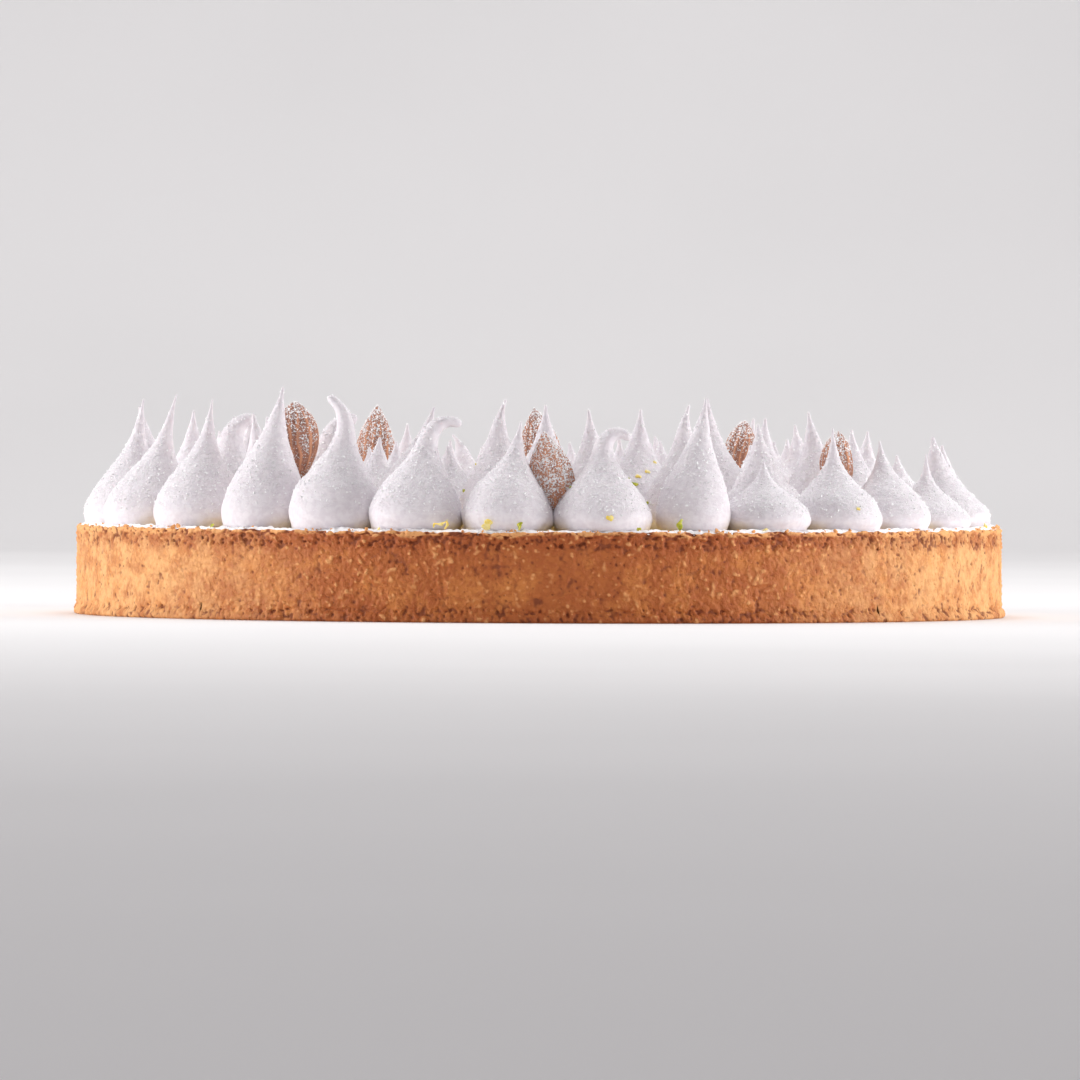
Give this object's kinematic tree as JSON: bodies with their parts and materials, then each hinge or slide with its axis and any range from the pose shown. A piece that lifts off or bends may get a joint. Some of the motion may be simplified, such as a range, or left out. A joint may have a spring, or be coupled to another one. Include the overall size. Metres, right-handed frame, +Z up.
{
  "type": "lemon tart",
  "caption": "Round straight-sided lemon tart with a baked shortcrust case, covered with piped meringue kisses, with whole almonds and shreds of zest between them.",
  "frame": {"origin": "centre of the flat base", "axes": "+Z up, +X to the right in the picture, +Y away from the camera"},
  "size_m": [0.242, 0.242, 0.0586],
  "materials": {
    "pastry": "golden brown baked shortcrust, sandy and matte",
    "cream": "set lemon cream, smooth with a soft shine",
    "meringue": "soft white meringue, dusted with icing sugar",
    "almond": "brown almond skin with lengthwise ridges, dusted with icing sugar"
  },
  "bodies": {
    "root": {"pastry_case": "pastry", "lemon_cream": "cream", "kiss_outer_01": "meringue", "kiss_outer_02": "meringue", "kiss_outer_03": "meringue", "kiss_outer_04": "meringue", "kiss_outer_05": "meringue", "kiss_outer_06": "meringue", "kiss_outer_07": "meringue", "kiss_outer_08": "meringue", "kiss_outer_09": "meringue", "kiss_outer_10": "meringue", "kiss_outer_11": "meringue", "kiss_outer_12": "meringue", "kiss_outer_13": "meringue", "kiss_outer_14": "meringue", "kiss_outer_15": "meringue", "kiss_outer_16": "meringue", "kiss_outer_17": "meringue", "kiss_outer_18": "meringue", "kiss_outer_19": "meringue", "kiss_outer_20": "meringue", "kiss_outer_21": "meringue", "kiss_outer_22": "meringue", "kiss_outer_23": "meringue", "kiss_outer_24": "meringue", "kiss_outer_25": "meringue", "kiss_outer_26": "meringue", "kiss_outer_27": "meringue", "kiss_outer_28": "meringue", "kiss_outer_29": "meringue", "kiss_second_01": "meringue", "kiss_second_02": "meringue", "kiss_second_03": "meringue", "kiss_second_04": "meringue", "kiss_second_05": "meringue", "kiss_second_06": "meringue", "kiss_second_07": "meringue", "kiss_second_08": "meringue", "kiss_second_09": "meringue", "kiss_second_10": "meringue", "kiss_second_11": "meringue", "kiss_second_12": "meringue", "kiss_second_13": "meringue", "kiss_second_14": "meringue", "kiss_second_15": "meringue", "kiss_second_16": "meringue", "kiss_second_17": "meringue", "kiss_second_18": "meringue", "kiss_second_19": "meringue", "kiss_second_20": "meringue", "kiss_second_21": "meringue", "kiss_second_22": "meringue", "kisses_centre": "meringue", "almond_1": "almond", "almond_2": "almond", "almond_3": "almond", "almond_4": "almond", "almond_5": "almond", "almond_6": "almond"}
  },
  "joints": []
}
